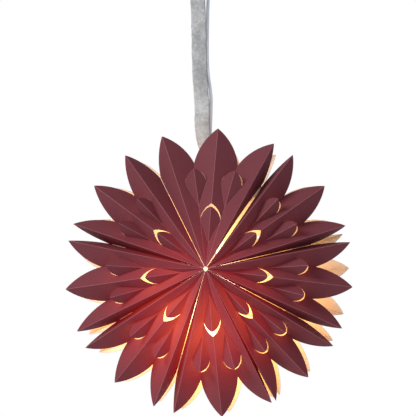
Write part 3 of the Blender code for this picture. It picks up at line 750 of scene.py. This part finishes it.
def lamp_holder():
    shell = plastic("holder_white", (0.82, 0.82, 0.80), (0.76, 0.76, 0.74), 0.36, 1400.0, glowing=1.0)
    ceramic = plastic("glazed_insulator", (0.80, 0.79, 0.75), (0.72, 0.71, 0.68), 0.18, 300.0)
    brass = metal("nickel_plated_brass", (0.72, 0.68, 0.58), (0.58, 0.54, 0.45), 0.28)
    grip = [(0, 0.0882), (0.0038, 0.0882), (0.0040, 0.0860), (0.0037, 0.0853), (0.0042, 0.0838),
            (0.0039, 0.0831), (0.0044, 0.0816), (0.0044, 0.0800), (0.0056, 0.0725), (0.0070, 0.0700),
            (0.0070, 0.0663), (0, 0.0663)]
    collar = turned("cord_grip", grip, shell, STAR_BODY, "white_plastic")
    cap = [(0.0035, 0.0660), (0.0085, 0.0660), (0.0120, 0.0635), (0.0150, 0.0596), (0.0172, 0.0560),
           (0.0190, 0.0513), (0.0200, 0.0460), (0.0205, 0.0360), (0.0188, 0.0360), (0.0183, 0.0455),
           (0.0158, 0.0545), (0.0110, 0.0610), (0.0035, 0.0630)]
    turned("holder_cap", cap, shell, STAR_BODY, "white_plastic", closed=True)
    skirt = [(0.0205, 0.0357), (0.0205, 0.0220), *threads(0.0205, 0.0040, 5, 0.0196, 0.0203),
             (0.0196, -0.0040), (0.0170, -0.0040), (0.0170, 0.0300), (0.0175, 0.0357)]
    turned("holder_skirt", skirt, shell, STAR_BODY, "white_plastic", closed=True, soft=0.00015)
    ring = [(0.0210, 0.0120), (0.0238, 0.0120), (0.0248, 0.0105), (0.0248, 0.0065), (0.0300, 0.0058),
            (0.0305, 0.0050), (0.0300, 0.0040), (0.0210, 0.0040)]
    turned("shade_ring", ring, shell, "shade_ring", "white_plastic", closed=True)
    disc = [(0, 0.0354), (0.0166, 0.0354), (0.0166, 0.0305), (0, 0.0305)]
    turned("holder_insulator", disc, ceramic, STAR_BODY, "white_plastic")
    sleeve = [(0.0162, 0.0300), (0.0162, 0.0010), (0.0152, 0.0010), (0.0152, 0.0300)]
    turned("contact_shell", sleeve, brass, STAR_BODY, "nickel_plate", closed=True, soft=0.0001)
    spring = [(0, 0.0302), (0.0022, 0.0302), (0.0030, 0.0285), (0.0030, 0.0272), (0, 0.0268)]
    turned("contact_spring", spring, brass, STAR_BODY, "nickel_plate", soft=0.0001)
    return collar


def globe_profile(radius, centre):
    """Points of the globe's meridian from its open top to its lowest point."""
    rim, steps = -0.0428, 28
    start = math.acos((rim - centre) / radius)
    angles = [start + (math.pi - start) * k / steps for k in range(steps + 1)]
    points = [(radius * math.sin(a), centre + radius * math.cos(a)) for a in angles]
    points[-1] = (0, points[-1][1])
    return points


def led_bulb():
    white = plastic("bulb_white", (0.88, 0.87, 0.84), (0.82, 0.81, 0.78), 0.32, 1400.0, glowing=0.6)
    black = plastic("black_glass", (0.035, 0.035, 0.035), (0.02, 0.02, 0.02), 0.12, 300.0)
    brass = metal("bulb_cap_plate", (0.76, 0.74, 0.68), (0.62, 0.60, 0.54), 0.24)
    cap = [(0.0120, 0.0205), *threads(0.0185, 0.0036, 5, 0.0128, 0.0136), (0.0128, -0.0030),
           (0.0118, -0.0030), (0.0112, 0.0205)]
    turned("bulb_screw_cap", cap, brass, BULB_BODY, "nickel_plate", closed=True, soft=0.00012)
    glass = [(0, 0.0240), (0.0060, 0.0240), (0.0118, 0.0212), (0.0118, 0.0208), (0, 0.0208)]
    turned("bulb_insulator", glass, black, BULB_BODY, "black_insulator", soft=0.0001)
    contact = [(0, 0.0265), (0.0020, 0.0264), (0.0035, 0.0261), (0.0046, 0.0254), (0.0050, 0.0243),
               (0, 0.0243)]
    turned("bulb_contact", contact, brass, BULB_BODY, "nickel_plate", soft=0.0)
    collar = [(0, -0.0033), (0.0136, -0.0033), (0.0142, -0.0100), (0.0158, -0.0165), (0.0180, -0.0220),
              (0.0208, -0.0280), (0.0235, -0.0330), (0.0252, -0.0366), (0.0262, -0.0395), (0.0262, -0.0425),
              (0, -0.0425)]
    turned("bulb_collar", collar, white, BULB_BODY, "white_plastic")
    outer = globe_profile(0.0300, -0.0610)
    lining = globe_profile(0.0288, -0.0610)
    diffuser(outer, lining)
    board = [(0, -0.0430), (0.0200, -0.0430), (0.0200, -0.0446), (0, -0.0446)]
    turned("led_board", board, white, BULB_BODY, "white_plastic", soft=0.0001)
    ring = [(0.0150, -0.0449), (0.0150, -0.0457), (0.0100, -0.0457), (0.0100, -0.0449)]
    turned("led_ring", ring, phosphor(), BULB_BODY, "led_phosphor", closed=True, soft=0.0001)


def diffuser(outer, lining):
    """The hollow globe: its outside and its lining, joined by a flat lip at the open top."""
    steps = 72
    bm = bmesh.new()
    for points in (outer, lining):
        verts = [bm.verts.new((r, 0.0, z)) for r, z in points]
        for a, b in zip(verts, verts[1:]):
            bm.edges.new((a, b))
        if points is outer:
            top = verts[0]
        else:
            bm.edges.new((top, verts[0]))
    bmesh.ops.spin(bm, geom=list(bm.verts) + list(bm.edges), cent=(0, 0, 0), axis=(0, 0, 1),
                   angle=2 * math.pi, steps=steps, use_merge=True)
    bmesh.ops.remove_doubles(bm, verts=bm.verts, dist=0.000005)
    bmesh.ops.recalc_face_normals(bm, faces=bm.faces)
    bmesh.ops.translate(bm, vec=(LAMP_X, 0, STAR.z), verts=bm.verts)
    obj = place("fine_bulb_diffuser", mesh_from("bulb_diffuser", bm), BULB_BODY)
    obj.data.materials.append(opal())
    obj.data.shade_smooth()
    obj.data.set_sharp_from_angle(angle=math.radians(38))
    finish_piece(obj, "opal_globe", "bulb_diffuser")


# ---------------------------------------------------------------- ceiling fixture
DROP = 0.508
BASE_LOW = DROP - 0.012
HOOK_STEM_X = HOOK_BAR.x - 0.0150
SCREW_XY = ((0.020, -0.024), (0.020, 0.024))


def ceiling_hook(mat):
    """A stem out of the base, a flat bar for the ribbon and an upturned end."""
    x0, x1, z = HOOK_STEM_X, HOOK_BAR.x + 0.0145, HOOK_BAR.z
    bend = 0.003
    quarter = [math.pi / 2 * k / 8 for k in range(1, 9)]
    points = [(x0, DROP - 0.001), (x0, z + bend)]
    points += [(x0 + bend * (1 - math.cos(a)), z + bend * (1 - math.sin(a))) for a in quarter]
    points += [(x1 - bend, z)]
    points += [(x1 - bend + bend * math.sin(a), z + bend * (1 - math.cos(a))) for a in quarter]
    points += [(x1, z + 0.010)]
    curve = bpy.data.curves.new("fine_ceiling_hook", "CURVE")
    curve.dimensions = "3D"
    curve.bevel_depth = HOOK_RADIUS
    curve.bevel_resolution = 6
    curve.use_fill_caps = True
    spline = curve.splines.new("POLY")
    spline.points.add(len(points) - 1)
    for point, (x, height) in zip(spline.points, points):
        point.co = (x, RIBBON_Y, height + STAR.z, 1.0)
    curve.materials.append(mat)
    finish_piece(place("fine_ceiling_hook", curve, "ceiling_fixture"), "zinc_steel", "ceiling_hook")


def ceiling_fixture():
    white = plastic("ceiling_white", (0.84, 0.84, 0.83), (0.79, 0.79, 0.78), 0.42, 1200.0)
    steel = metal("zinc_plated_steel", (0.66, 0.67, 0.70), (0.50, 0.51, 0.54), 0.32, (700.0, 700.0, 700.0))
    r = 0.045
    base = [(0, DROP), (r, DROP), (r, BASE_LOW + 0.0040), (r - 0.0003, BASE_LOW + 0.0026),
            (r - 0.0012, BASE_LOW + 0.0012), (r - 0.0026, BASE_LOW + 0.0003), (r - 0.0040, BASE_LOW),
            (0, BASE_LOW)]
    holes = [(HOOK_STEM_X, RIBBON_Y, HOOK_RADIUS + 0.0004)] + [(x, y, 0.0024) for x, y in SCREW_XY]
    turned("ceiling_base", base, white, "ceiling_fixture", "white_plastic", axis=(0, 0), steps=120,
           holes=holes, soft=0.0002)
    low = BASE_LOW - 0.0003
    bush = [(0, low), (0.0075, low), (0.0075, BASE_LOW - 0.0070), (0.0070, BASE_LOW - 0.0082),
            (0.0062, BASE_LOW - 0.0090), (0.0040, 0.4680), (0, 0.4680)]
    turned("ceiling_cord_bush", bush, white, "ceiling_fixture", "white_plastic", axis=(-0.0030, 0.010))
    screw = [(0, DROP - 0.0005), (0.0019, DROP - 0.0005), (0.0019, low), (0.0042, low),
             (0.0041, BASE_LOW - 0.0011), (0.0038, BASE_LOW - 0.0017), (0.0031, BASE_LOW - 0.0023),
             (0.0022, BASE_LOW - 0.0026), (0, BASE_LOW - 0.0028)]
    for k, xy in enumerate(SCREW_XY, start=1):
        turned(f"base_screw_{k}", screw, steel, "ceiling_fixture", "zinc_steel", axis=xy, steps=48,
               soft=0.0001)
    ceiling_hook(steel)


def repaint(mat, *names):
    """Give CAD nodes that stay a material of their own."""
    for name in names:
        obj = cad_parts[name]
        if not obj.material_slots:
            obj.data.materials.append(mat)
        for slot in obj.material_slots:
            slot.material = mat


def plain_pieces():
    repaint(white_paper(), *[f"side_tab_{k}" for k in range(2, 9)])
    repaint(tape(), "seam_hook_strip", "seam_loop_strip")
    repaint(card(), "card_hanger")


# ---------------------------------------------------------------- stage
def point_at(obj, target):
    obj.rotation_mode = "QUATERNION"
    obj.rotation_quaternion = (target - obj.location).to_track_quat("-Z", "Y")


def camera():
    data = bpy.data.cameras.new("camera")
    data.lens = LENS
    data.sensor_width = SENSOR
    cam = bpy.data.objects.new("camera", data)
    bpy.context.scene.collection.objects.link(cam)
    azimuth, elevation = math.radians(CAMERA_AZIMUTH), math.radians(CAMERA_ELEVATION)
    front = STAR + FRONT_FACE
    cam.location = front + CAMERA_DISTANCE * Vector((math.sin(azimuth) * math.cos(elevation),
                                                     -math.cos(azimuth) * math.cos(elevation),
                                                     math.sin(elevation)))
    point_at(cam, front + AIM)
    data.clip_end = 60.0
    bpy.context.scene.camera = cam


def area_light(name, location, target, size, energy, colour=(1, 1, 1)):
    data = bpy.data.lights.new(name, "AREA")
    data.size = size
    data.energy = energy
    data.color = colour
    obj = bpy.data.objects.new(name, data)
    bpy.context.scene.collection.objects.link(obj)
    obj.location = location
    point_at(obj, Vector(target))


def studio():
    scene = bpy.context.scene
    scene.view_settings.view_transform = "Standard"
    world = bpy.data.worlds.new("studio")
    world.use_nodes = True
    tree = world.node_tree
    background = tree.nodes["Background"]
    background.inputs["Color"].default_value = (0.92, 0.95, 1.0, 1.0)
    background.inputs["Strength"].default_value = AMBIENT
    white = tree.nodes.new("ShaderNodeBackground")
    white.inputs["Color"].default_value = (1.0, 1.0, 1.0, 1.0)
    path = tree.nodes.new("ShaderNodeLightPath")
    mix = tree.nodes.new("ShaderNodeMixShader")
    tree.links.new(path.outputs["Is Camera Ray"], mix.inputs[0])
    tree.links.new(background.outputs[0], mix.inputs[1])
    tree.links.new(white.outputs[0], mix.inputs[2])
    tree.links.new(mix.outputs[0], tree.nodes["World Output"].inputs["Surface"])
    scene.world = world
    area_light("key", (-1.7, -1.5, 0.75), STAR, 0.9, 44.0, (1.0, 0.98, 0.96))
    area_light("fill", (1.4, -2.6, -0.9), STAR, 1.8, 5.0, (0.93, 0.96, 1.0))
    bm = bmesh.new()
    bmesh.ops.create_circle(bm, cap_ends=True, segments=96, radius=FLOOR_RADIUS)
    floor = bpy.data.objects.new("floor", mesh_from("floor", bm))
    scene.collection.objects.link(floor)
    floor.location = (0, 0, FLOOR_HEIGHT)
    floor.data.materials.append(floor_material())


# ---------------------------------------------------------------- build
camera()
lamp_cord(lamp_holder())
hanging_ribbon()
led_bulb()
paper_star()
plain_pieces()
ceiling_fixture()
studio()
